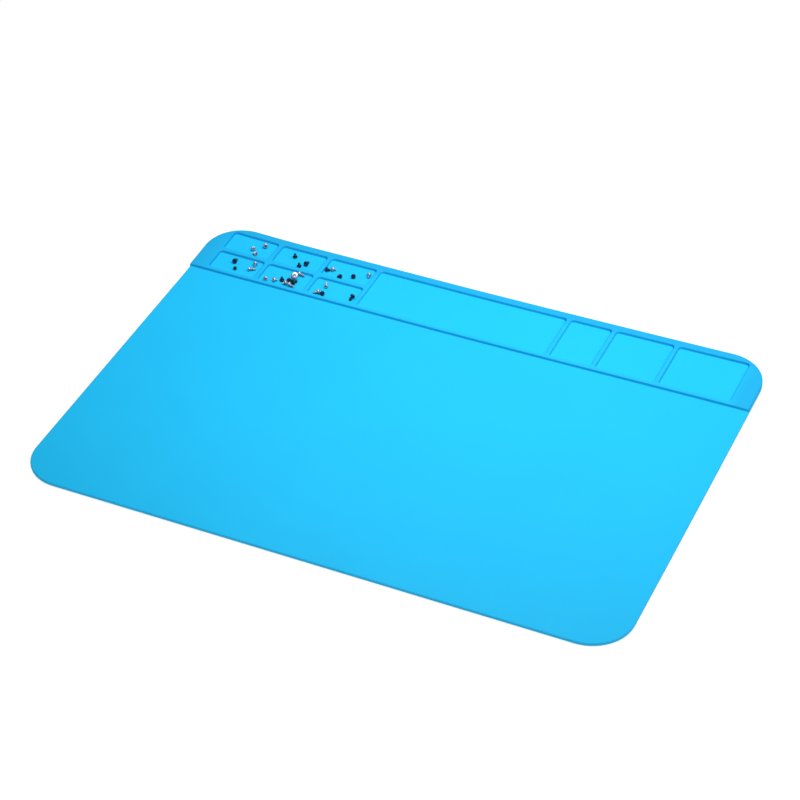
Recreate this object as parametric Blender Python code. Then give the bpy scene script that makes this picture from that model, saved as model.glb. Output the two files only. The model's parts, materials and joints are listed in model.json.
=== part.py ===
"""Silicone parts-sorting mat, with the loose screws that are being sorted in it.

The mat is one moulding: a thin flat work area, and along the back a raised strip that holds
ten shallow pockets. Small black and silver screws lie loose in the six small pockets.

Frame: metres, +Z up. The origin is under the middle of the mat, on the surface it lies on.
+X runs along the long edge and +Y runs towards the strip of pockets.
"""
import math

import bmesh
import bpy
from mathutils import Matrix, Vector

MM = 0.001

# Mat outline and thickness
MAT_LENGTH = 350.0 * MM
MAT_DEPTH = 250.0 * MM
MAT_CORNER = 24.0 * MM
MAT_CORNER_STEPS = 10
FLOOR = 1.8 * MM
RIM = 1.7 * MM
MAT_HEIGHT = FLOOR + RIM

# Strip of pockets along the back edge
STRIP_DEPTH = 44.3 * MM
FRONT_RIM = 2.9 * MM
BACK_RIM = 5.5 * MM
LEFT_RIM = 11.3 * MM
RIB = 3.0 * MM
ROW_RIB = 3.4 * MM
POCKET_CORNER = 2.0 * MM
POCKET_CORNER_STEPS = 4
SMALL_COLUMNS = 3
SMALL_WIDTH = 29.4 * MM
TALL_POCKETS = (
    ("long", 118.0 * MM),
    ("narrow", 25.0 * MM),
    ("medium", 35.0 * MM),
    ("wide", 42.0 * MM),
)

# Screws: gap under a resting screw, the shape of its head and cross recess as shares of the
# head's radius and height, and the slope of a screw that leans on its neighbours
REST_GAP = 0.3 * MM
SIDES = 12
TOP_SHARE = 0.64
SHOULDER_SHARE = 0.90
SHOULDER_HEIGHT = 0.70
RECESS_REACH = 0.50
RECESS_HALF_WIDTH = 0.13
RECESS_DEPTH = 0.62
RECESS_TAPER = 0.50
TIP_SHARE = 0.62
LEAN = math.radians(45)
CUT_MARGIN = 5.0 * MM

# Each kind: finish, head diameter, head height, shank diameter, shank length
SCREW_KINDS = {
    "black_pan_screw": ("black_steel", 3.0 * MM, 1.1 * MM, 1.6 * MM, 3.0 * MM),
    "black_short_screw": ("black_steel", 2.8 * MM, 1.0 * MM, 1.5 * MM, 2.0 * MM),
    "black_tiny_screw": ("black_steel", 2.2 * MM, 0.8 * MM, 1.2 * MM, 1.6 * MM),
    "silver_pan_screw": ("nickel_steel", 3.0 * MM, 1.1 * MM, 1.6 * MM, 3.2 * MM),
    "silver_short_screw": ("nickel_steel", 2.8 * MM, 1.0 * MM, 1.5 * MM, 2.0 * MM),
    "silver_long_screw": ("nickel_steel", 2.4 * MM, 0.9 * MM, 1.5 * MM, 3.8 * MM),
    "silver_wafer_screw": ("nickel_steel", 4.4 * MM, 0.8 * MM, 1.8 * MM, 3.6 * MM),
}

# Loose screws, pocket by pocket: kind, then the middle of the screw in millimetres from the
# pocket's front-left corner, the way its tip points in degrees from +X, and how it rests
LOOSE_SCREWS = {
    "back_1": (
        ("silver_pan_screw", 22.0, 12.3, 118, "lying"),
        ("silver_short_screw", 16.5, 6.5, 130, "lying"),
        ("silver_short_screw", 19.8, 2.2, 160, "lying"),
    ),
    "front_1": (
        ("black_pan_screw", 12.3, 11.1, 94, "lying"),
        ("black_tiny_screw", 15.2, 4.8, 115, "lying"),
        ("silver_long_screw", 25.0, 7.6, 30, "lying"),
        ("silver_short_screw", 24.8, 12.3, 280, "lying"),
    ),
    "back_2": (
        ("black_short_screw", 10.6, 9.9, 0, "on_head"),
        ("black_pan_screw", 20.3, 6.2, 88, "lying"),
        ("black_short_screw", 16.9, 2.4, 0, "on_head"),
    ),
    "front_2": (
        ("silver_short_screw", 4.2, 2.6, 110, "lying"),
        ("silver_short_screw", 9.9, 3.6, 47, "lying"),
        ("black_short_screw", 13.6, 5.5, 0, "on_head"),
        ("silver_wafer_screw", 19.5, 10.6, 115, "leaning"),
        ("silver_pan_screw", 22.2, 14.2, 2, "lying"),
        ("black_short_screw", 18.0, 6.6, 95, "lying"),
        ("black_pan_screw", 21.6, 6.1, 72, "lying"),
        ("silver_short_screw", 16.6, 3.0, 200, "lying"),
        ("silver_pan_screw", 21.2, 2.2, 352, "lying"),
    ),
    "back_3": (
        ("black_short_screw", 2.1, 5.4, 31, "lying"),
        ("silver_short_screw", 5.2, 7.2, 30, "lying"),
        ("black_short_screw", 11.1, 2.0, 165, "lying"),
        ("black_short_screw", 18.6, 5.6, 125, "lying"),
        ("silver_short_screw", 27.1, 9.3, 285, "lying"),
    ),
    "front_3": (
        ("silver_long_screw", 7.7, 11.1, 112, "lying"),
        ("silver_pan_screw", 5.3, 2.3, 204, "lying"),
        ("black_short_screw", 8.9, 2.8, 120, "lying"),
        ("black_pan_screw", 26.7, 5.4, 261, "lying"),
    ),
}

# Finish of each material: colour, roughness, metallic
FINISHES = {
    "blue_silicone": ((0.02, 0.40, 0.88, 1.0), 0.55, 0.0),
    "black_steel": ((0.02, 0.02, 0.025, 1.0), 0.35, 0.7),
    "nickel_steel": ((0.72, 0.71, 0.68, 1.0), 0.25, 1.0),
}


def clear_scene():
    """Remove every object that the file starts with."""
    for obj in list(bpy.data.objects):
        bpy.data.objects.remove(obj, do_unlink=True)


def make_finish(name):
    """One Principled material from the finish table."""
    colour, roughness, metallic = FINISHES[name]
    material = bpy.data.materials.new(name)
    material.use_nodes = True
    shader = material.node_tree.nodes["Principled BSDF"]
    shader.inputs["Base Color"].default_value = colour
    shader.inputs["Roughness"].default_value = roughness
    shader.inputs["Metallic"].default_value = metallic
    material.diffuse_color = colour
    return material


def link_object(name, mesh):
    """Put a mesh into the scene as a named object."""
    obj = bpy.data.objects.new(name, mesh)
    bpy.context.scene.collection.objects.link(obj)
    return obj


def bridge(bm, lower, upper):
    """Join two rings of the same number of vertices with a band of faces."""
    count = len(lower)
    for i in range(count):
        j = (i + 1) % count
        bm.faces.new((lower[i], lower[j], upper[j], upper[i]))


def mesh_from_rings(name, rings):
    """Closed mesh through a stack of point rings, with a face over each end."""
    bm = bmesh.new()
    loops = [[bm.verts.new(point) for point in ring] for ring in rings]
    for lower, upper in zip(loops, loops[1:]):
        bridge(bm, lower, upper)
    bm.faces.new(loops[0])
    bm.faces.new(loops[-1])
    bmesh.ops.recalc_face_normals(bm, faces=bm.faces)
    mesh = bpy.data.meshes.new(name)
    bm.to_mesh(mesh)
    bm.free()
    return mesh


def rounded_rectangle(x0, x1, y0, y1, radius, steps):
    """Plan points of a rectangle with quarter-circle corners, anticlockwise."""
    corners = (
        (x1 - radius, y0 + radius, -90),
        (x1 - radius, y1 - radius, 0),
        (x0 + radius, y1 - radius, 90),
        (x0 + radius, y0 + radius, 180),
    )
    points = []
    for centre_x, centre_y, start in corners:
        for step in range(steps + 1):
            angle = math.radians(start + 90.0 * step / steps)
            x = centre_x + radius * math.cos(angle)
            y = centre_y + radius * math.sin(angle)
            points.append((x, y))
    return points


def prism_rings(outline, z0, z1):
    """The bottom and top rings of an upright prism."""
    return [[Vector((x, y, z)) for x, y in outline] for z in (z0, z1)]


def pocket_layout():
    """Every pocket's name and plan rectangle: low x, high x, low y, high y."""
    front = MAT_DEPTH / 2 - STRIP_DEPTH + FRONT_RIM
    back = MAT_DEPTH / 2 - BACK_RIM
    row = (back - front - ROW_RIB) / 2
    x = -MAT_LENGTH / 2 + LEFT_RIM
    pockets = {}
    for column in range(1, SMALL_COLUMNS + 1):
        pockets[f"front_{column}"] = (x, x + SMALL_WIDTH, front, front + row)
        pockets[f"back_{column}"] = (x, x + SMALL_WIDTH, back - row, back)
        x += SMALL_WIDTH + RIB
    for name, width in TALL_POCKETS:
        pockets[name] = (x, x + width, front, back)
        x += width + RIB
    return pockets


def add_cutter(target, name, mesh):
    """Cut a mesh's shape out of the target, leaving the cutter as a hidden wire guide."""
    cutter = link_object(name, mesh)
    cutter.hide_render = True
    cutter.display_type = "WIRE"
    cut = target.modifiers.new(name, "BOOLEAN")
    cut.operation = "DIFFERENCE"
    cut.solver = "EXACT"
    cut.object = cutter


def make_mat(pockets, material):
    """The one-piece mat: a full-height slab, lowered over the work area and in each pocket."""
    half_x = MAT_LENGTH / 2
    half_y = MAT_DEPTH / 2
    outline = rounded_rectangle(-half_x, half_x, -half_y, half_y, MAT_CORNER, MAT_CORNER_STEPS)
    mesh = mesh_from_rings("silicone_mat", prism_rings(outline, 0.0, MAT_HEIGHT))
    mesh.materials.append(material)
    mat = link_object("silicone_mat", mesh)
    cut_top = MAT_HEIGHT + CUT_MARGIN
    strip_front = half_y - STRIP_DEPTH
    area = (
        (-half_x - CUT_MARGIN, -half_y - CUT_MARGIN),
        (half_x + CUT_MARGIN, -half_y - CUT_MARGIN),
        (half_x + CUT_MARGIN, strip_front),
        (-half_x - CUT_MARGIN, strip_front),
    )
    area_mesh = mesh_from_rings("work_area_cut", prism_rings(area, FLOOR, cut_top))
    add_cutter(mat, "work_area_cut", area_mesh)
    for name, (x0, x1, y0, y1) in pockets.items():
        outline = rounded_rectangle(x0, x1, y0, y1, POCKET_CORNER, POCKET_CORNER_STEPS)
        rings = prism_rings(outline, FLOOR, cut_top)
        add_cutter(mat, f"pocket_cut_{name}", mesh_from_rings(f"pocket_cut_{name}", rings))
    return mat


def circle(radius, z):
    """A ring of points whose corners line up with the corners of the cross recess."""
    points = []
    for i in range(SIDES):
        angle = 2 * math.pi * (i + 0.5) / SIDES
        points.append(Vector((radius * math.cos(angle), radius * math.sin(angle), z)))
    return points


def cross(reach, half_width, z):
    """A ring of points round a plus sign, three points to a quarter turn."""
    quarter = ((reach, half_width), (half_width, half_width), (half_width, reach))
    points = []
    for turn in range(4):
        spin = Matrix.Rotation(turn * math.pi / 2, 3, "Z")
        points += [spin @ Vector((x, y, z)) for x, y in quarter]
    return points


def make_screw_mesh(kind, material):
    """A screw standing upright, its origin where the shank meets the underside of the head."""
    head_diameter, head_height, shank_diameter, shank_length = SCREW_KINDS[kind][1:]
    head = head_diameter / 2
    shank = shank_diameter / 2
    chamfer = shank * (1 - TIP_SHARE)
    reach = head * RECESS_REACH
    half_width = head * RECESS_HALF_WIDTH
    recess_floor = head_height * (1 - RECESS_DEPTH)
    rings = (
        cross(reach * RECESS_TAPER, half_width * RECESS_TAPER, recess_floor),
        cross(reach, half_width, head_height),
        circle(head * TOP_SHARE, head_height),
        circle(head * SHOULDER_SHARE, head_height * SHOULDER_HEIGHT),
        circle(head, 0.0),
        circle(shank, 0.0),
        circle(shank, chamfer - shank_length),
        circle(shank * TIP_SHARE, -shank_length),
    )
    mesh = mesh_from_rings(kind, rings)
    mesh.materials.append(material)
    mesh.shade_smooth()
    mesh.set_sharp_from_angle(angle=math.radians(35))
    return mesh


def slanted_pose(kind, heading, tilt):
    """Turn and centre height of a screw that rests on its tip, its head end tilted up."""
    head_height, shank_diameter, shank_length = SCREW_KINDS[kind][2:]
    tip = shank_diameter / 2 * TIP_SHARE
    turn = Matrix.Rotation(heading, 3, "Z") @ Matrix.Rotation(tilt - math.pi / 2, 3, "Y")
    lift = shank_length * math.sin(tilt) + tip * math.cos(tilt)
    middle = turn @ Vector((0.0, 0.0, (head_height - shank_length) / 2))
    return turn, Vector((-middle.x, -middle.y, lift))


def lying_pose(kind, heading):
    """Turn and centre height of a screw lying on the rim of its head and its tip."""
    head_diameter, _, shank_diameter, shank_length = SCREW_KINDS[kind][1:]
    tip = shank_diameter / 2 * TIP_SHARE
    return slanted_pose(kind, heading, math.atan2(head_diameter / 2 - tip, shank_length))


def leaning_pose(kind, heading):
    """Turn and centre height of a screw whose head leans on its neighbours."""
    return slanted_pose(kind, heading, LEAN)


def on_head_pose(kind, heading):
    """Turn and centre height of a screw standing on the top of its head, tip up."""
    head_height = SCREW_KINDS[kind][2]
    turn = Matrix.Rotation(heading, 3, "Z") @ Matrix.Rotation(math.pi, 3, "X")
    return turn, Vector((0.0, 0.0, head_height))


POSES = {"lying": lying_pose, "leaning": leaning_pose, "on_head": on_head_pose}


def place_screw(name, mesh, kind, corner, offset, heading, pose):
    """Put one screw into its pocket; its own origin stays on the line that it lifts along."""
    turn, shift = POSES[pose](kind, math.radians(heading))
    ground = Vector((corner[0] + offset[0], corner[1] + offset[1], FLOOR + REST_GAP))
    screw = link_object(name, mesh)
    screw.location = ground + shift
    screw.rotation_euler = turn.to_euler()


def make_screws(pockets, finishes):
    """Every loose screw, numbered by kind in the order that the pockets are listed."""
    meshes = {}
    for kind, spec in SCREW_KINDS.items():
        meshes[kind] = make_screw_mesh(kind, finishes[spec[0]])
    counts = dict.fromkeys(SCREW_KINDS, 0)
    for pocket, screws in LOOSE_SCREWS.items():
        corner = (pockets[pocket][0], pockets[pocket][2])
        for kind, x, y, heading, pose in screws:
            counts[kind] += 1
            name = f"{kind}_{counts[kind]}"
            place_screw(name, meshes[kind], kind, corner, (x * MM, y * MM), heading, pose)


def main():
    """Build the mat and everything that lies in it."""
    clear_scene()
    finishes = {name: make_finish(name) for name in FINISHES}
    pockets = pocket_layout()
    make_mat(pockets, finishes["blue_silicone"])
    make_screws(pockets, finishes)


main()
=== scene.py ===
"""The looks of a silicone parts-sorting mat and of the loose screws lying in its small pockets.

Metres, +Z up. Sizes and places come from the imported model: the mat's outline and thickness, its
pockets, and where each screw lies and which way it points. The silicone gets rounded lips and
feet on its walls, a matt moulded skin and slightly lifted back corners. The screws get domed
heads, cross recesses and real threads.
"""
import json
import math

import bmesh
import bpy
import numpy as np
from mathutils import Matrix, Vector
from mathutils.geometry import delaunay_2d_cdt

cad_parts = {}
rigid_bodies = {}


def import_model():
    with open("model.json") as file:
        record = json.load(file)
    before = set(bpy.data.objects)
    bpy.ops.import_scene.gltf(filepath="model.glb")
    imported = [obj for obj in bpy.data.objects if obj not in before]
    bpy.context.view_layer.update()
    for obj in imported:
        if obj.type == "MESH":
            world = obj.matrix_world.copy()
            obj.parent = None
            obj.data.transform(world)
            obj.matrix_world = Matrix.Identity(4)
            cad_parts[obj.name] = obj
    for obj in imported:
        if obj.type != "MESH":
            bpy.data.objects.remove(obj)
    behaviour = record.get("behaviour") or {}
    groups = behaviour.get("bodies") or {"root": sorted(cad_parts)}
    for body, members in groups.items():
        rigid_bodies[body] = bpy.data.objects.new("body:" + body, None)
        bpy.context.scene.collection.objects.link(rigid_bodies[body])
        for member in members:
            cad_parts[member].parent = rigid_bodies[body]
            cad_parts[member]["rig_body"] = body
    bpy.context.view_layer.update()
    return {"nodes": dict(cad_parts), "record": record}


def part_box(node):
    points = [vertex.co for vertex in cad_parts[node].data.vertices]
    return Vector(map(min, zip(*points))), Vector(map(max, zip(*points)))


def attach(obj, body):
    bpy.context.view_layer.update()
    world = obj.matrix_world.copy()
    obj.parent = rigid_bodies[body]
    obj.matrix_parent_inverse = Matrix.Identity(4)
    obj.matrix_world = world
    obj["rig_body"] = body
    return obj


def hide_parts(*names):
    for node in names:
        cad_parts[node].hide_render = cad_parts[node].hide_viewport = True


MAT_NODE = "silicone_mat"

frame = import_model()
mat_low, mat_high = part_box(MAT_NODE)
material_slots = {row["node"]: row["material_slot"] for row in frame["record"]["subparts"]}

MM = 0.001

# Mat: roundings of its edges, the lean of its walls, and the spacing of its surface points.
# A narrow band of EDGE_HOLD beside each rounding keeps the flat areas' shading flat.
MAT_CORNER = 24.0 * MM
POCKET_CORNER = 2.0 * MM
LIP_ROUND = 0.60 * MM
FOOT_ROUND = 0.40 * MM
RIM_ROUND = 0.80 * MM
UNDER_ROUND = 0.30 * MM
WALL_LEAN = 0.20 * MM
EDGE_HOLD = 0.14 * MM
ROUND_STEPS = 5
CORNER_STEPS = 24
POCKET_STEPS = 8
POINT_SPACING = 6.0 * MM
POINT_CLEARANCE = 0.6 * POINT_SPACING
WELD = 0.002 * MM
FILL_ACCURACY = 0.0002 * MM

# Back corners that curl up: side in X, reach from the square corner, and height there
CURLS = ((1.0, 190.0 * MM, 2.4 * MM), (-1.0, 55.0 * MM, 1.6 * MM))
CURL_POWER = 1.5

# Tone of the silicone by thickness: thin floors let more light through than the thick rims.
# The ribs between the pockets are deeper at the strip's left end, up to RIB_CHANGE of its length.
# Beyond the outer pockets the ribs' tone fades to that of the rims.
RIM_TONE = 0.0
LEFT_RIB_TONE = 0.35
RIB_TONE = 0.62
RIB_CHANGE = 0.35
RIM_FADE = 7.0 * MM
RIGHT_RIM_FADE = RIM_FADE / 3
WORK_TONE = 0.85
POCKET_TONE = 1.0

RIM_BLUE = (0.012, 0.355, 0.66, 1.0)
POCKET_BLUE = (0.012, 0.455, 0.80, 1.0)
# Lighter blue for painted light on the mat's outer edge and on left walls of the strip
PAINTED_LIGHT_BLUE = (0.030, 0.540, 0.95, 1.0)

# Colour of the shade on the strip's walls, and its strength by the side of the pocket they are on.
# On left walls it fades towards the strip's right end, and on right walls it grows up to a share
# of the strip's length. Left walls also get painted light, a lighter blue that grows towards the
# right end.
WALL_SHADE = (0.20, 0.58, 0.80, 1.0)
LEFT_SHADE = 0.50
RIGHT_SHADE = 1.3
RIGHT_SHADE_FULL = 0.6
BACK_SHADE = 0.14
WALL_PAINTED_LIGHT = 0.9
WALL_MARGIN = 1.0 * MM

# Silicone's surface: pale clouds and specks in its colour
CLOUD_TINT = (0.96, 0.97, 0.98, 1.0)
SPECK_BLUE = (0.45, 0.72, 0.92, 1.0)

# Screws: points round the axis, thread, and shapes as shares of the head's radius and height.
# Wear and shade is how far the finish turns to its second colour: lighter worn steel on black
# screws, wear and painted shade on nickel ones; over 1 it leaves few patches of the finish.
# Coordinates read from CAD are rounded to PLACES decimals of a metre.
SIDES = 48
THREAD_PITCH = 0.36 * MM
THREAD_DEPTH = 0.17 * MM
THREAD_PROFILE = (0.0, 0.28, 0.93, 1.0, 0.62)
NECK = 0.18 * MM
TIP_SHARE = 0.62
PRESS = 0.02 * MM
SCREW_WELD = 0.0005 * MM
SLIVER = 0.00025 * MM
SHARP_ANGLE = math.radians(38)
PLACES = 7
PAN_PROFILE = (
    (0.60, 1.00),
    (0.74, 0.965),
    (0.85, 0.88),
    (0.93, 0.74),
    (0.98, 0.55),
    (1.00, 0.34),
    (1.00, 0.10),
    (0.985, 0.03),
    (0.95, 0.00),
)
WAFER_PROFILE = (
    (0.42, 1.00),
    (0.60, 0.95),
    (0.78, 0.84),
    (0.91, 0.68),
    (0.98, 0.48),
    (1.00, 0.30),
    (1.00, 0.12),
    (0.99, 0.04),
    (0.97, 0.00),
)
PAN_RECESS = 0.52
WAFER_RECESS = 0.50
RECESS_WEAR_AND_SHADE = 2.0
HEAD_WEAR_AND_SHADE = 0.15
HEAD_SIDE_WEAR_AND_SHADE = 0.8
RECESS_HALF_ANGLE = math.radians(15)
RECESS_LEVELS = ((1.07, 0.0), (1.0, 0.05), (0.86, 0.45), (0.62, 0.60), (0.12, 0.72))

# Surround: how far the floor lies under the mat and reaches to each side, how bright the air
# round it shines on things, and how bright it looks
FLOOR_DROP = 0.20 * MM
FLOOR_REACH = 3.0
SURROUND_LIGHT = 0.19
SURROUND_SEEN = 0.90

# Camera: place, direction of view, roll and lens
CAMERA_PLACE = Vector((0.47231, -1.03279, 0.94488))
CAMERA_VIEW = Vector((-0.32240, 0.70362, -0.63322))
CAMERA_ROLL = math.radians(-0.7315)
CAMERA_LENS = 119.62
CAMERA_SENSOR = 36.0

# Softboxes: where each one is, the point it faces, its two sides in metres, and its power in watts
NEAR_SOFTBOX = {
    "place": (0.035, 0.09, 0.44),
    "target": (0.035, 0.16, 0.0),
    "size": (0.46, 0.37),
    "power": 2.86,
}
FAR_SOFTBOX = {
    "place": (0.43, 0.16, 0.68),
    "target": (-0.05, 0.0, 0.0),
    "size": (1.1, 0.88),
    "power": 2.3,
}


# ---- Sizes read from the frame


def floor_height():
    """Height of the work area and the pocket floors, from the record's mount on the work area."""
    mounts = frame["record"]["mounts"]
    return next(m["pos_m"][2] for m in mounts if m["name"] == "work_area")


def floor_patches(floor):
    """Corner points of each separate floor of the CAD mat: the work area and every pocket."""
    bm = bmesh.new()
    bm.from_mesh(frame["nodes"][MAT_NODE].data)
    bmesh.ops.remove_doubles(bm, verts=bm.verts, dist=WELD)
    off_floor = [v for v in bm.verts if abs(v.co.z - floor) > WELD]
    bmesh.ops.delete(bm, geom=off_floor, context="VERTS")
    patches = []
    waiting = set(bm.verts)
    while waiting:
        patch = []
        stack = [waiting.pop()]
        while stack:
            vert = stack.pop()
            patch.append(tuple(vert.co))
            near = {e.other_vert(vert) for e in vert.link_edges} & waiting
            waiting -= near
            stack += near
        patches.append(np.array(patch))
    bm.free()
    return patches


def read_mat():
    """The mat's floor height, front of the strip, and pockets as low and high X and Y."""
    floor = floor_height()
    patches = sorted(floor_patches(floor), key=lambda patch: np.ptp(patch[:, 0]))
    strip_front = patches[-1][:, 1].max()
    pockets = []
    for patch in patches[:-1]:
        (x0, y0), (x1, y1) = patch[:, :2].min(0), patch[:, :2].max(0)
        pockets.append((x0, x1, y0, y1))
    return floor, strip_front, sorted(pockets)


# ---- Plan shapes


def corner_arc(centre_x, centre_y, radius, start, steps):
    """Points of a quarter circle, anticlockwise from the start angle in degrees."""
    points = []
    for step in range(steps + 1):
        angle = math.radians(start + 90.0 * step / steps)
        points.append((centre_x + radius * math.cos(angle), centre_y + radius * math.sin(angle)))
    return points


def rounded_rectangle(x0, x1, y0, y1, radius, steps, x_stops=(), y_stops=()):
    """Anticlockwise plan points, with further points at the given stops along the straights."""
    points = corner_arc(x1 - radius, y0 + radius, radius, -90, steps)
    points += [(x1, y) for y in y_stops]
    points += corner_arc(x1 - radius, y1 - radius, radius, 0, steps)
    points += [(x, y1) for x in reversed(x_stops)]
    points += corner_arc(x0 + radius, y1 - radius, radius, 90, steps)
    points += [(x0, y) for y in reversed(y_stops)]
    points += corner_arc(x0 + radius, y0 + radius, radius, 180, steps)
    points += [(x, y0) for x in x_stops]
    return points


def even_stops(low, high):
    """Evenly spaced places between two ends, without the ends."""
    count = max(1, round((high - low) / POINT_SPACING))
    return [low + (high - low) * i / count for i in range(1, count)]


def inside(points, outline):
    """Which of the points lie inside a closed outline, by the sides that each one is left of."""
    x, y = points[:, 0], points[:, 1]
    odd = np.zeros(len(points), bool)
    for (ax, ay), (bx, by) in zip(outline, np.roll(outline, -1, axis=0)):
        if ay != by:
            crosses = (ay > y) != (by > y)
            odd ^= crosses & (x < (bx - ax) * (y - ay) / (by - ay) + ax)
    return odd


def inner_points(outline, holes):
    """An even field of points inside an outline, clear of its edge and of any holes."""
    low, high = outline.min(0), outline.max(0)
    columns = np.arange(low[0], high[0], POINT_SPACING)
    rows = np.arange(low[1], high[1], POINT_SPACING)
    field = np.array([(x, y) for x in columns for y in rows])
    keep = inside(field, outline)
    for hole in holes:
        keep &= ~inside(field, hole)
    field = field[keep]
    rim = np.vstack([outline, *holes])
    distance = np.linalg.norm(field[:, None] - rim[None], axis=2).min(1)
    return field[distance > POINT_CLEARANCE]


# ---- Mat


def wall_section(bottom, top):
    """A wall's section from floor to rim: distance out of its foot line, and height."""
    points = [(-FOOT_ROUND - EDGE_HOLD, bottom)]
    for step in range(ROUND_STEPS + 1):
        angle = math.pi / 2 * step / ROUND_STEPS
        along = -FOOT_ROUND * (1 - math.sin(angle))
        points.append((along, bottom + FOOT_ROUND * (1 - math.cos(angle))))
    for step in range(ROUND_STEPS + 1):
        angle = math.pi / 2 * step / ROUND_STEPS
        along = WALL_LEAN + LIP_ROUND * (1 - math.cos(angle))
        points.append((along, top - LIP_ROUND * (1 - math.sin(angle))))
    points.append((WALL_LEAN + LIP_ROUND + EDGE_HOLD, top))
    return points


def rim_section():
    """The mat's upper outer edge, from its flat top outwards: inset, and drop below the top."""
    points = [(RIM_ROUND + EDGE_HOLD, 0.0)]
    for step in range(ROUND_STEPS + 1):
        angle = math.pi / 2 * step / ROUND_STEPS
        points.append((RIM_ROUND * (1 - math.sin(angle)), RIM_ROUND * (1 - math.cos(angle))))
    return points


def under_section():
    """The mat's lower outer edge, downwards: inset, and height above the bench."""
    points = []
    for step in range(ROUND_STEPS + 1):
        angle = math.pi / 2 * step / ROUND_STEPS
        points.append((UNDER_ROUND * (1 - math.cos(angle)), UNDER_ROUND * (1 - math.sin(angle))))
    points.append((UNDER_ROUND + EDGE_HOLD, 0.0))
    return points


def bridge(bm, first, second, closed=True):
    """Join two rows of vertices with a band of faces."""
    count = len(first)
    for i in range(count if closed else count - 1):
        j = (i + 1) % count
        bm.faces.new((first[i], first[j], second[j], second[i]))


def fill(bm, outline, holes=()):
    """Cover the area inside a level outline, and outside its holes, with even triangles."""
    verts = []
    edges = []
    for loop in (outline, *holes):
        start, count = len(verts), len(loop)
        edges += [(start + i, start + (i + 1) % count) for i in range(count)]
        verts += loop
    plans = [np.array([vert.co.xy for vert in loop]) for loop in (outline, *holes)]
    height = outline[0].co.z
    for x, y in inner_points(plans[0], plans[1:]):
        verts.append(bm.verts.new((x, y, height)))
    flat = [vert.co.xy for vert in verts]
    _, _, faces, sources, _, _ = delaunay_2d_cdt(flat, edges, [], 1, FILL_ACCURACY)
    triangles = [[verts[sources[i][0]] for i in face] for face in faces]
    middles = np.array([sum((v.co.xy for v in t), Vector((0.0, 0.0))) / 3 for t in triangles])
    keep = inside(middles, plans[0])
    for hole in plans[1:]:
        keep &= ~inside(middles, hole)
    for number in np.flatnonzero(keep):
        bm.faces.new(triangles[number])


def strip_lines(bm, section, strip_front):
    """The step up to the strip: rows of vertices from the left edge to the right edge."""
    inset = rim_section()[0][0]
    x0, x1 = mat_low.x + inset, mat_high.x - inset
    stops = [x0, *even_stops(x0, x1), x1]
    rows = []
    for along, height in section:
        rows.append([bm.verts.new((x, strip_front + along, height)) for x in stops])
    for first, second in zip(rows, rows[1:]):
        bridge(bm, first, second, closed=False)
    return rows


def edge_rings(bm, section, strip_front):
    """The mat's outer edge as closed rings, from the inner top ring down to the underside."""
    step_y = [strip_front + along for along, _ in section]
    straight = (mat_low.y + MAT_CORNER, mat_high.y - MAT_CORNER)
    y_stops = [*even_stops(straight[0], step_y[0]), *step_y]
    y_stops += even_stops(step_y[-1], straight[1])
    x_stops = even_stops(mat_low.x + MAT_CORNER, mat_high.x - MAT_CORNER)
    heights = [height for _, height in section]
    rings = []
    for inset, drop in rim_section():
        ring = []
        for x, y in edge_plan(inset, x_stops, y_stops):
            top = float(np.interp(y, step_y, heights))
            ring.append(bm.verts.new((x, y, top - drop)))
        rings.append(ring)
    for inset, height in under_section():
        plan = edge_plan(inset, x_stops, y_stops)
        rings.append([bm.verts.new((x, y, height)) for x, y in plan])
    for first, second in zip(rings, rings[1:]):
        bridge(bm, first, second)
    return rings


def edge_plan(inset, x_stops, y_stops):
    """The mat's outline, moved inwards."""
    sides = (mat_low.x + inset, mat_high.x - inset, mat_low.y + inset, mat_high.y - inset)
    return rounded_rectangle(*sides, MAT_CORNER - inset, CORNER_STEPS, x_stops, y_stops)


def pocket_rings(bm, pocket, section):
    """One pocket's wall as closed rings from its floor up to the top of the rim."""
    x0, x1, y0, y1 = pocket
    x_stops = even_stops(x0 + POCKET_CORNER, x1 - POCKET_CORNER)
    y_stops = even_stops(y0 + POCKET_CORNER, y1 - POCKET_CORNER)
    rings = []
    for out, height in section:
        sides = (x0 - out, x1 + out, y0 - out, y1 + out)
        plan = rounded_rectangle(*sides, POCKET_CORNER + out, POCKET_STEPS, x_stops, y_stops)
        rings.append([bm.verts.new((x, y, height)) for x, y in plan])
    for first, second in zip(rings, rings[1:]):
        bridge(bm, first, second)
    return rings


def curl(x, y):
    """How far a place on the mat is lifted by its curled back corners."""
    lift = 0.0
    for side, reach, height in CURLS:
        corner_x = mat_high.x if side > 0 else mat_low.x
        near = max(0.0, 1.0 - math.hypot(x - corner_x, y - mat_high.y) / reach)
        lift += height * near**CURL_POWER
    return lift


def between(value, low, high):
    """Where a value lies between two others, held between 0 and 1."""
    return min(1.0, max(0.0, (value - low) / (high - low)))


def tone_at(point, heights, strip_front, sides):
    """Tone of the silicone at a place: by how thick the mat is there, and how wide its rim."""
    x0, x1, y1 = sides
    change = between(point.x, x0, x0 + RIB_CHANGE * (x1 - x0))
    rib = LEFT_RIB_TONE + (RIB_TONE - LEFT_RIB_TONE) * change
    past_left = between(-point.x, -x0, RIM_FADE - x0)
    past_right = between(point.x, x1, x1 + RIGHT_RIM_FADE)
    beyond = max(past_left, past_right, between(point.y, y1 - RIM_FADE, y1))
    thick = rib + (RIM_TONE - rib) * beyond
    thin = WORK_TONE if point.y < strip_front + WELD else POCKET_TONE
    return thin + (thick - thin) * between(point.z, *heights)


def on_strip_wall(point, heights, sides):
    """Whether a place is on a wall of the strip, and not on the mat's outer edge."""
    x0, x1, y1 = sides
    between_levels = heights[0] + WELD < point.z < heights[1] - WELD
    between_ends = x0 - RIM_FADE < point.x < x1 + WALL_MARGIN
    return between_levels and between_ends and point.y < y1 + WALL_MARGIN


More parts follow.
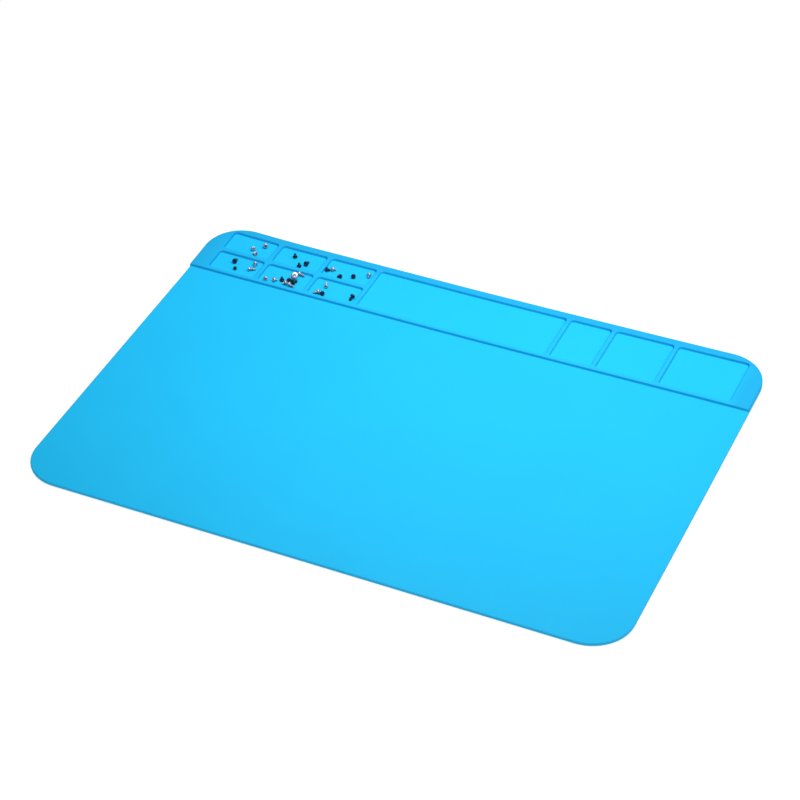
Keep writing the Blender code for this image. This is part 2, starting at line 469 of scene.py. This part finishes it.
def shade_at(vert, heights, sides):
    """Shade on the strip's walls: left walls at its left end, right walls after it, back walls."""
    if not on_strip_wall(vert.co, heights, sides):
        return 0.0
    along = between(vert.co.x, *sides[:2])
    left = LEFT_SHADE * max(0.0, vert.normal.x) * (1.0 - along) ** 2
    right = RIGHT_SHADE * max(0.0, -vert.normal.x) * between(along, 0.0, RIGHT_SHADE_FULL)
    return left + right + BACK_SHADE * max(0.0, -vert.normal.y)


def painted_light_at(vert, heights, sides):
    """Painted light: on the mat's thin outer edge, and on left walls at the strip's right end."""
    if vert.co.z < heights[0] - WELD:
        return math.hypot(vert.normal.x, vert.normal.y)
    if not on_strip_wall(vert.co, heights, sides):
        return 0.0
    return WALL_PAINTED_LIGHT * max(0.0, vert.normal.x) * between(vert.co.x, *sides[:2])


def top_outlines(ring, first_line, last_line):
    """Split the inner top ring at the step: the outline of the work area and of the strip."""
    below = [vert.co.y < first_line[0].co.y - WELD for vert in ring]
    leaves = below.index(False)
    returns = len(below) - below[::-1].index(False)
    work_area = ring[returns:] + ring[:leaves] + first_line[::-1]
    above = [vert for vert in ring if vert.co.y > last_line[0].co.y + WELD]
    return work_area, above + last_line


def build_mat():
    """The one-piece silicone mat as a closed mesh with rounded lips, feet and edges."""
    floor, strip_front, pockets = read_mat()
    section = wall_section(floor, mat_high.z)
    bm = bmesh.new()
    lines = strip_lines(bm, section, strip_front)
    rings = edge_rings(bm, section, strip_front)
    holes = []
    for pocket in pockets:
        walls = pocket_rings(bm, pocket, section)
        fill(bm, walls[0])
        holes.append(walls[-1])
    work_area, strip = top_outlines(rings[0], lines[0], lines[-1])
    fill(bm, work_area)
    fill(bm, strip, holes)
    fill(bm, rings[-1])
    bmesh.ops.remove_doubles(bm, verts=bm.verts, dist=WELD)
    bmesh.ops.recalc_face_normals(bm, faces=bm.faces)
    bm.normal_update()
    tone = bm.verts.layers.float.new("tone")
    shade = bm.verts.layers.float.new("shade")
    glow = bm.verts.layers.float.new("glow")
    heights = (floor, mat_high.z)
    lefts, rights, _, backs = zip(*pockets)
    sides = (min(lefts), max(rights), max(backs))
    for vert in bm.verts:
        vert[tone] = tone_at(vert.co, heights, strip_front, sides)
        vert[shade] = shade_at(vert, heights, sides)
        # Painted light on the outer edge and on left walls
        vert[glow] = painted_light_at(vert, heights, sides)
    for vert in bm.verts:
        vert.co.z += curl(vert.co.x, vert.co.y)
    mat = finish_object(bm, "silicone_work_mat", silicone_material())
    settle_on(mat, MAT_NODE)


# ---- Screws


def ring(bm, radius_at, height, wear_and_shade=0.0):
    """A level ring of vertices round a screw's axis, with its share of wear and painted shade."""
    layer = bm.verts.layers.float["wear_and_shade"]
    made = []
    for i in range(SIDES):
        angle = 2 * math.pi * i / SIDES
        radius = radius_at(angle)
        vert = bm.verts.new((radius * math.cos(angle), radius * math.sin(angle), height))
        vert[layer] = wear_and_shade
        made.append(vert)
    return made


def round_ring(bm, radius, height, wear_and_shade=0.0):
    """A level circle of vertices round a screw's axis."""
    return ring(bm, lambda angle: radius, height, wear_and_shade)


def cross_radius(angle, reach):
    """Distance from the axis to the edge of a cross recess, in one direction."""
    fold = angle % (math.pi / 2)
    fold = min(fold, math.pi / 2 - fold)
    if fold <= RECESS_HALF_ANGLE:
        return reach / math.cos(fold)
    return reach * math.tan(RECESS_HALF_ANGLE) / math.sin(fold)


def close_with_point(bm, loop, height):
    """Close a ring with a fan of triangles round a point on the axis."""
    point = bm.verts.new((0.0, 0.0, height))
    for i, vert in enumerate(loop):
        bm.faces.new((point, vert, loop[(i + 1) % len(loop)]))


def build_head(bm, radius, height, profile, recess):
    """A domed screw head with a cross recess, open towards the shank."""
    reach = radius * recess
    loops = []
    # Recess: lighter worn steel in black screws, painted shade and wear in nickel ones
    for share, depth in reversed(RECESS_LEVELS):
        level = height * (1.0 - depth)
        loops.append(ring(bm, lambda angle: cross_radius(angle, reach * share), level, RECESS_WEAR_AND_SHADE))
    close_with_point(bm, loops[0], loops[0][0].co.z)
    for out, up in profile:
        # Head rim and dome: lighter worn steel on black screws, painted shade and wear on nickel
        # ones
        wear_and_shade = HEAD_SIDE_WEAR_AND_SHADE if out == 1.0 else HEAD_WEAR_AND_SHADE
        loops.append(round_ring(bm, radius * out, height * up, wear_and_shade))
    for first, second in zip(loops, loops[1:]):
        bridge(bm, first, second)
    return loops[-1]


def thread_point(depth, height, radius, length):
    """Distance from the axis, and depth below the head, of a point on the thread."""
    root = radius - THREAD_DEPTH
    tip = radius * TIP_SHARE
    level = min(max(depth, NECK), length)
    grown = min(1.0, (level - NECK) / THREAD_PITCH)
    cone = tip + (length - level)
    return min(root + THREAD_DEPTH * height * grown, cone), level


def build_thread(bm, radius, length):
    """A right-handed thread whose rows follow its helix, held level at the neck and the tip."""
    layer = bm.verts.layers.float["wear_and_shade"]
    samples = len(THREAD_PROFILE)
    last = math.ceil((length / THREAD_PITCH + 1) * samples) + 1
    rows = {}
    for row in range(-samples, last + 1):
        height = THREAD_PROFILE[row % samples]
        rows[row] = []
        for i in range(SIDES):
            angle = 2 * math.pi * i / SIDES
            depth = THREAD_PITCH * (row / samples - i / SIDES)
            out, level = thread_point(depth, height, radius, length)
            vert = bm.verts.new((out * math.cos(angle), out * math.sin(angle), -level))
            # Crests get the most: lighter worn steel on black screws, painted shade and wear on
            # nickel ones
            vert[layer] = height
            rows[row].append(vert)
    for row in range(last):
        after = rows[row + 1]
        for i in range(SIDES - 1):
            bm.faces.new((rows[row][i], rows[row][i + 1], after[i + 1], after[i]))
        seam = rows[row - samples][0], rows[row - samples + 1][0]
        bm.faces.new((rows[row][-1], seam[0], seam[1], after[-1]))


def screw_mesh(kind, sizes):
    """One kind of screw, upright, its origin where the shank meets the head."""
    head_radius, head_height, shank_radius, shank_length = sizes
    wafer = "wafer" in kind
    profile = WAFER_PROFILE if wafer else PAN_PROFILE
    recess = WAFER_RECESS if wafer else PAN_RECESS
    bm = bmesh.new()
    bm.verts.layers.float.new("wear_and_shade")
    under = build_head(bm, head_radius, head_height, profile, recess)
    root = shank_radius - THREAD_DEPTH
    shoulder = round_ring(bm, root + NECK / 2, 0.0)
    neck = round_ring(bm, root, -NECK)
    bridge(bm, under, shoulder)
    bridge(bm, shoulder, neck)
    build_thread(bm, shank_radius, shank_length)
    tip = round_ring(bm, shank_radius * TIP_SHARE, -shank_length)
    close_with_point(bm, tip, -shank_length)
    bmesh.ops.remove_doubles(bm, verts=bm.verts, dist=SCREW_WELD)
    bmesh.ops.dissolve_degenerate(bm, edges=bm.edges, dist=SLIVER)
    bmesh.ops.recalc_face_normals(bm, faces=bm.faces)
    mesh = bpy.data.meshes.new(kind)
    bm.to_mesh(mesh)
    bm.free()
    mesh.shade_smooth()
    mesh.set_sharp_from_angle(angle=SHARP_ANGLE)
    return mesh


def read_screw(node):
    """Where a CAD screw's shank meets its head, its axis towards the head, and its sizes."""
    points = [tuple(v.co) for v in frame["nodes"][node].data.vertices]
    points = np.unique(np.round(points, PLACES), axis=0)
    centre = points.mean(0)
    # A screw is round, so two of its three spreads agree, and its axis has the third one.
    spread, directions = np.linalg.eigh(np.cov((points - centre).T))
    odd = 0 if spread[1] - spread[0] > spread[2] - spread[1] else 2
    axis = directions[:, odd]
    along = (points - centre) @ axis
    out = np.linalg.norm(points - centre - np.outer(along, axis), axis=1)
    # The widest points belong to the head, which lies past the middle and is less than half
    # of the length.
    widest = out.argmax()
    if along[widest] < along.mean() or along.max() - along[widest] > np.ptp(along) / 2:
        axis, along = -axis, -along
    base = along[widest]
    shank = out[along < base - WELD].max()
    sizes = (out.max(), along.max() - base, shank, base - along.min())
    return Vector(centre + axis * base), Vector(axis), sizes


def build_screws():
    """A threaded screw in the place of every CAD screw, resting on its pocket's floor."""
    floor = floor_height()
    materials = {"black_steel": black_material(), "nickel_steel": nickel_material()}
    meshes = {}
    for count, node in enumerate(sorted(set(frame["nodes"]) - {MAT_NODE})):
        kind = node.rsplit("_", 1)[0]
        place, axis, sizes = read_screw(node)
        if kind not in meshes:
            meshes[kind] = screw_mesh(kind, sizes)
            meshes[kind].materials.append(materials[material_slots[node]])
        # Each screw is turned one radian further about its axis, so that no two look alike.
        turn = axis.to_track_quat("Z", "Y").to_matrix() @ Matrix.Rotation(count, 3, "Z")
        lowest = min((turn @ vert.co).z for vert in meshes[kind].vertices)
        place.z = floor + curl(place.x, place.y) - PRESS - lowest
        screw = bpy.data.objects.new(f"{node}_threaded", meshes[kind])
        bpy.context.scene.collection.objects.link(screw)
        screw.matrix_world = Matrix.Translation(place) @ turn.to_4x4()
        settle_on(screw, node)


# ---- Objects and materials


def finish_object(bm, name, material):
    """Turn a bmesh into a smooth linked object."""
    mesh = bpy.data.meshes.new(name)
    bm.to_mesh(mesh)
    bm.free()
    mesh.shade_smooth()
    mesh.materials.append(material)
    obj = bpy.data.objects.new(name, mesh)
    bpy.context.scene.collection.objects.link(obj)
    return obj


def settle_on(piece, node):
    """Let a piece stand for a CAD node and move with its body."""
    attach(piece, frame["nodes"][node]["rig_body"])
    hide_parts(node)


def new_material(name, **settings):
    """A material with settings on its Principled shader; returns it, its tree and shader."""
    material = bpy.data.materials.new(name)
    material.use_nodes = True
    tree = material.node_tree
    shader = tree.nodes["Principled BSDF"]
    for key, value in settings.items():
        shader.inputs[key.replace("_", " ")].default_value = value
    return material, tree, shader


def add_node(tree, kind, settings=(), **links):
    """A shader node with input settings by name, and links into its inputs by name."""
    node = tree.nodes.new(kind)
    for key, value in dict(settings).items():
        if key in node.inputs:
            node.inputs[key].default_value = value
        else:
            setattr(node, key, value)
    for key, socket in links.items():
        tree.links.new(socket, node.inputs[key])
    return node


def noise(tree, place, scale, detail=2.0, roughness=0.5):
    """A noise value over the object's own coordinates."""
    settings = {"Scale": scale, "Detail": detail, "Roughness": roughness}
    return add_node(tree, "ShaderNodeTexNoise", settings, Vector=place).outputs["Fac"]


def ramp(tree, value, low, high, out_low=0.0, out_high=1.0):
    """Map a value from one range to another, held at the ends."""
    settings = {"From Min": low, "From Max": high, "To Min": out_low, "To Max": out_high}
    return add_node(tree, "ShaderNodeMapRange", settings, Value=value).outputs["Result"]


def blend(tree, share, first, second, how="MIX"):
    """Blend two colours; each is a colour or a socket, and the share is a number or a socket."""
    node = tree.nodes.new("ShaderNodeMix")
    node.data_type = "RGBA"
    node.blend_type = how
    for name, value in (("Factor_Float", share), ("A_Color", first), ("B_Color", second)):
        socket = next(s for s in node.inputs if s.identifier == name)
        if isinstance(value, bpy.types.NodeSocket):
            tree.links.new(value, socket)
        else:
            socket.default_value = value
    return next(s for s in node.outputs if s.identifier == "Result_Color")


def maths(tree, operation, first, second):
    """One arithmetic step on sockets or numbers."""
    node = tree.nodes.new("ShaderNodeMath")
    node.operation = operation
    for socket, value in zip(node.inputs, (first, second)):
        if isinstance(value, bpy.types.NodeSocket):
            tree.links.new(value, socket)
        else:
            socket.default_value = value
    return node.outputs["Value"]


def object_place(tree):
    """The object's own coordinates, in metres."""
    return add_node(tree, "ShaderNodeTexCoord").outputs["Object"]


def attribute(tree, name):
    """A value stored on the mesh's points."""
    return add_node(tree, "ShaderNodeAttribute", {"attribute_name": name}).outputs["Fac"]


def add_bump(tree, shader, height, strength, distance):
    """Fine relief on a shader's normal."""
    settings = {"Strength": strength, "Distance": distance}
    bump = add_node(tree, "ShaderNodeBump", settings, Height=height)
    tree.links.new(bump.outputs["Normal"], shader.inputs["Normal"])


def silicone_material():
    """Sky-blue moulded silicone: matt, finely textured, brighter where it is thin, with painted
    shade on the strip's walls and painted light on its outer edge and left walls.
    """
    material, tree, shader = new_material("moulded_silicone", Specular_IOR_Level=0.1, IOR=1.41)
    place = object_place(tree)
    body = blend(tree, attribute(tree, "tone"), RIM_BLUE, POCKET_BLUE)
    body = blend(tree, attribute(tree, "shade"), body, WALL_SHADE, "MULTIPLY")
    # Painted light: a lighter blue on the outer edge and on left walls towards the right end
    body = blend(tree, attribute(tree, "glow"), body, PAINTED_LIGHT_BLUE)
    clouds = ramp(tree, noise(tree, place, scale=16.0, detail=3.0), 0.3, 0.7)
    body = blend(tree, clouds, body, CLOUD_TINT, "MULTIPLY")
    specks = ramp(tree, noise(tree, place, scale=1500.0, detail=1.0), 0.76, 0.82, out_high=0.10)
    body = blend(tree, specks, body, SPECK_BLUE)
    tree.links.new(body, shader.inputs["Base Color"])
    rough = ramp(tree, noise(tree, place, scale=260.0, detail=3.0), 0.3, 0.7, 0.50, 0.60)
    tree.links.new(rough, shader.inputs["Roughness"])
    fine, coarse = noise(tree, place, scale=2600.0), noise(tree, place, scale=900.0, detail=3.0)
    add_bump(tree, shader, maths(tree, "ADD", fine, coarse), strength=0.35, distance=0.03 * MM)
    return material


def worn_and_shaded_metal(name, colour, bare_and_shaded, roughness, metallic, wear_and_shade_share):
    """Screw metal: a finish turned to a second colour on crests, rims and the recess, by wear and,
    where darker, by painted shade; with fine turning marks.
    """
    material, tree, shader = new_material(name, Metallic=metallic)
    place = object_place(tree)
    patches = ramp(tree, noise(tree, place, scale=1800.0, detail=3.0), 0.42, 0.62)
    # Wear and painted shade: the mask on crests, rims and recess, broken into patches
    wear_and_shade = maths(tree, "MULTIPLY", attribute(tree, "wear_and_shade"), patches)
    wear_and_shade = maths(tree, "MULTIPLY", wear_and_shade, wear_and_shade_share)
    body = blend(tree, wear_and_shade, colour, bare_and_shaded)
    tree.links.new(body, shader.inputs["Base Color"])
    rough = ramp(tree, noise(tree, place, scale=2500.0, detail=3.0), 0.3, 0.7, *roughness)
    tree.links.new(rough, shader.inputs["Roughness"])
    rings = {"wave_type": "RINGS", "rings_direction": "Z", "Scale": 4200.0, "Distortion": 1.5}
    marks = add_node(tree, "ShaderNodeTexWave", rings, Vector=place).outputs["Fac"]
    add_bump(tree, shader, marks, strength=0.25, distance=0.008 * MM)
    return material


def black_material():
    """Blue-black oxide steel, rubbed to lighter steel on its edges and in its recess."""
    return worn_and_shaded_metal(
        "black_oxide_steel",
        colour=(0.002, 0.020, 0.050, 1.0),
        bare_and_shaded=(0.06, 0.13, 0.20, 1.0),
        roughness=(0.36, 0.50),
        metallic=0.5,
        wear_and_shade_share=0.4,
    )


def nickel_material():
    """Plated steel with a cool tint, satin to bright, turned darker on crests, rims and the recess
    by wear and painted shade.
    """
    return worn_and_shaded_metal(
        "nickel_plated_steel",
        colour=(0.46, 0.56, 0.64, 1.0),
        bare_and_shaded=(0.15, 0.15, 0.15, 1.0),
        roughness=(0.34, 0.50),
        metallic=0.85,
        wear_and_shade_share=0.8,
    )


# ---- Floor, light and camera


def floor_material():
    """A pale glowing floor that is clear from below, so that it hides nothing of the mat."""
    settings = {"Base_Color": (0.25, 0.25, 0.25, 1.0), "Roughness": 0.8, "Specular_IOR_Level": 0.0}
    glow = {"Emission_Color": (1.0, 1.0, 1.0, 1.0), "Emission_Strength": 0.85}
    material, tree, shader = new_material("pale_floor", **settings, **glow)
    below = add_node(tree, "ShaderNodeNewGeometry").outputs["Backfacing"]
    clear = add_node(tree, "ShaderNodeBsdfTransparent").outputs["BSDF"]
    either = tree.nodes.new("ShaderNodeMixShader")
    # Both shader inputs have the same name, so the three inputs are linked in their order.
    for socket, value in zip(either.inputs, (below, shader.outputs["BSDF"], clear)):
        tree.links.new(value, socket)
    tree.links.new(either.outputs["Shader"], tree.nodes["Material Output"].inputs["Surface"])
    # Left out of light sampling: its two huge triangles would show as patches on the underside.
    material.cycles.emission_sampling = "NONE"
    return material


def build_floor():
    """A plain floor just under the mat."""
    bm = bmesh.new()
    corners = ((-1, -1), (1, -1), (1, 1), (-1, 1))
    places = [(x * FLOOR_REACH, y * FLOOR_REACH, -FLOOR_DROP) for x, y in corners]
    bm.faces.new([bm.verts.new(place) for place in places])
    finish_object(bm, "floor", floor_material())


def add_light(name, place, target, size, power):
    """A soft rectangular light aimed at a point."""
    data = bpy.data.lights.new(name, "AREA")
    data.shape = "RECTANGLE"
    data.size, data.size_y = size
    data.energy = power
    light = bpy.data.objects.new(name, data)
    bpy.context.scene.collection.objects.link(light)
    light.location = place
    light.rotation_euler = (Vector(target) - Vector(place)).to_track_quat("-Z", "Y").to_euler()
    light.visible_camera = False


def build_light():
    """A soft studio: an even pale surround, a softbox over the strip and one to its right."""
    world = bpy.data.worlds.new("studio")
    world.use_nodes = True
    background = world.node_tree.nodes["Background"]
    background.inputs["Color"].default_value = (1.0, 1.0, 1.0, 1.0)
    seen = add_node(world.node_tree, "ShaderNodeLightPath").outputs["Is Camera Ray"]
    strength = ramp(world.node_tree, seen, 0.0, 1.0, SURROUND_LIGHT, SURROUND_SEEN)
    world.node_tree.links.new(strength, background.inputs["Strength"])
    bpy.context.scene.world = world
    add_light("near_softbox", **NEAR_SOFTBOX)
    add_light("far_softbox", **FAR_SOFTBOX)


def build_camera():
    """The camera, rolled a little, at the usual view from the front right."""
    view = CAMERA_VIEW.normalized()
    right = view.cross(Vector((0.0, 0.0, 1.0))).normalized()
    turn = Matrix((right, right.cross(view), -view)).transposed()
    turn = turn @ Matrix.Rotation(CAMERA_ROLL, 3, "Z")
    data = bpy.data.cameras.new("camera")
    data.sensor_width = CAMERA_SENSOR
    data.lens = CAMERA_LENS
    camera = bpy.data.objects.new("camera", data)
    bpy.context.scene.collection.objects.link(camera)
    camera.matrix_world = Matrix.Translation(CAMERA_PLACE) @ turn.to_4x4()
    bpy.context.scene.camera = camera


build_camera()
build_mat()
build_screws()
build_floor()
build_light()
bpy.context.scene.view_settings.view_transform = "Standard"
